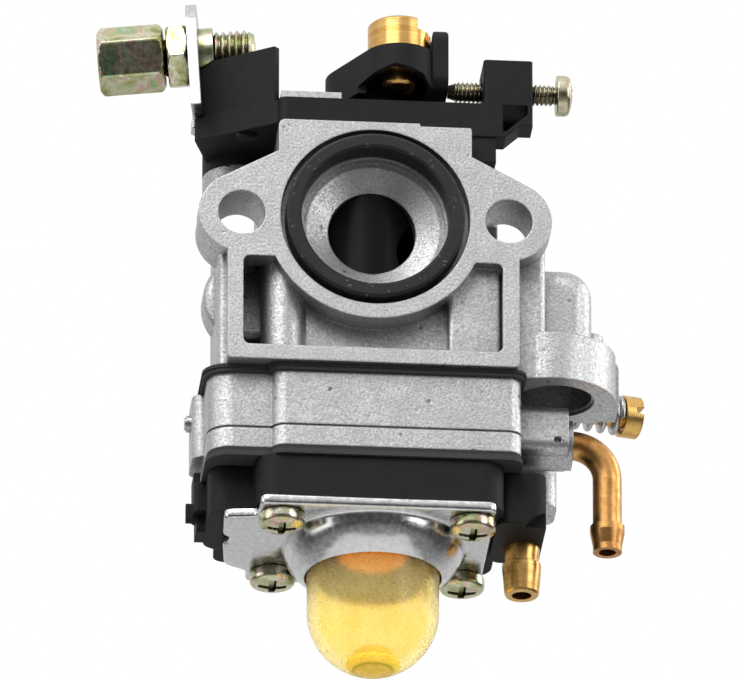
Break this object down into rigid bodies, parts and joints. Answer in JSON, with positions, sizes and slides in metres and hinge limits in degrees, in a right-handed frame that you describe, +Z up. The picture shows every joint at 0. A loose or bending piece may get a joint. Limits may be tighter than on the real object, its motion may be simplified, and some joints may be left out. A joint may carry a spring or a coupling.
{
  "type": "carburetor",
  "caption": "Small two-stroke diaphragm carburetor with a rotary throttle barrel, cable lever and adjuster, side mixture screw, fuel elbow, return barb and yellow primer bulb.",
  "frame": {"origin": "centre of the intake bore on the face of the mounting flange, midway between the two bolt holes", "axes": "+X to the right of someone facing the flange, +Y through the carburetor to its air-filter side, +Z up along the throttle barrel towards the cable lever"},
  "size_m": [0.0645, 0.0246, 0.0834],
  "materials": {
    "cast_aluminium": "grainy die-cast, lightly blasted",
    "barrel_plastic": "smooth black",
    "zinc_yellow": "yellow chromate zinc plating with a rainbow sheen",
    "zinc_bright": "bright zinc plating",
    "steel": "plain bright steel",
    "brass": "turned brass",
    "copper": "brown copper tube",
    "black_plastic": "fine-grained black",
    "rubber": "satin black",
    "valve_rubber": "orange",
    "gasket_board": "fibre board",
    "diaphragm": "thin coated sheet",
    "bulb": "translucent yellow"
  },
  "bodies": {
    "carburetor": {"main_body": "cast_aluminium", "pump_body": "cast_aluminium", "bracket_collar": "zinc_yellow", "cover_screws": "zinc_yellow", "plate_screws": "zinc_yellow", "bulb_retainer_plate": "zinc_bright", "cable_bracket": "zinc_bright", "cam_ball": "steel", "lever_pin": "steel", "return_spring": "steel", "mixture_spring": "steel", "metering_spring": "steel", "inlet_screen": "steel", "gallery_plug": "steel", "return_fitting": "brass", "main_nozzle": "brass", "inlet_elbow": "copper", "purge_base": "black_plastic", "top_cover": "black_plastic", "flange_seal_ring": "rubber", "shaft_seal": "rubber", "nozzle_o_ring": "rubber", "purge_check_valve": "valve_rubber", "pump_gasket": "gasket_board", "metering_gasket": "gasket_board", "pump_diaphragm": "diaphragm", "metering_diaphragm": "diaphragm", "primer_bulb": "bulb"},
    "lift_carrier": {"thrust_washer": "steel"},
    "barrel": {"throttle_barrel": "barrel_plastic", "jet_needle": "brass", "throttle_lever": "black_plastic"},
    "swivel": {"cable_swivel": "brass", "swivel_circlip": "steel"},
    "idle_stop": {"idle_screw": "zinc_yellow"},
    "mixture": {"mixture_screw": "brass"},
    "adjuster": {"cable_adjuster": "zinc_yellow"},
    "jam_nut": {"lock_nut": "zinc_yellow"},
    "bulb_tip": {"primer_bulb_tip": "bulb"},
    "inlet_lever": {"metering_lever": "brass"},
    "inlet_valve": {"inlet_needle": "brass"}
  },
  "joints": [
    {"name": "barrel_lift", "type": "slide", "parent": "carburetor", "child": "lift_carrier", "axis": [0, 0, 1], "range_m": [0, 0.0018], "stiffness_N_per_m": 800, "springref_m": -0.002, "deforming": ["return_spring"]},
    {"name": "lever_turn", "type": "hinge", "parent": "lift_carrier", "child": "barrel", "pos_m": [0, 0.012, 0], "axis": [0, 0, -1], "range_deg": [0, 72]},
    {"name": "swivel_turn", "type": "hinge", "parent": "barrel", "child": "swivel", "pos_m": [0.0032, 0.005, 0.0205], "axis": [0, 0, 1], "range_deg": [-75, 75]},
    {"name": "idle_screw_turn", "type": "hinge", "parent": "carburetor", "child": "idle_stop", "pos_m": [0.0216, 0.006, 0.0189], "axis": [1, 0, 0], "range_deg": [-720, 720]},
    {"name": "mixture_screw_turn", "type": "hinge", "parent": "carburetor", "child": "mixture", "pos_m": [0.027, 0.0175, -0.016], "axis": [0.9659, 0.2588, 0], "range_deg": [-540, 540]},
    {"name": "adjuster_turn", "type": "hinge", "parent": "carburetor", "child": "adjuster", "pos_m": [-0.0207, 0.012, 0.0251], "axis": [0.9884, -0.1389, 0.061], "range_deg": [-1080, 1080]},
    {"name": "lock_nut_turn", "type": "hinge", "parent": "carburetor", "child": "jam_nut", "pos_m": [-0.02199, 0.01218, 0.02502], "axis": [0.9884, -0.1389, 0.061], "range_deg": [-180, 180]},
    {"name": "primer_press", "type": "slide", "parent": "carburetor", "child": "bulb_tip", "axis": [0, 0, 1], "range_m": [0, 0.006], "stiffness_N_per_m": 400, "springref_m": -0.001, "deforming": ["primer_bulb"]},
    {"name": "metering_lever_tilt", "type": "hinge", "parent": "carburetor", "child": "inlet_lever", "pos_m": [0.00075, 0.0092, -0.02645], "axis": [1, 0, 0], "range_deg": [0, 6], "deforming": ["metering_spring"]},
    {"name": "inlet_needle_drop", "type": "slide", "parent": "carburetor", "child": "inlet_valve", "axis": [0, 0, -1], "range_m": [0, 0.00028], "stiffness_N_per_m": 100, "springref_m": -0.0005}
  ],
  "couplings": [
    {"joint": "lever_turn", "follows": "barrel_lift", "rad_per_m": 698.1},
    {"joint": "metering_lever_tilt", "follows": "inlet_needle_drop", "rad_per_m": 370.37}
  ]
}
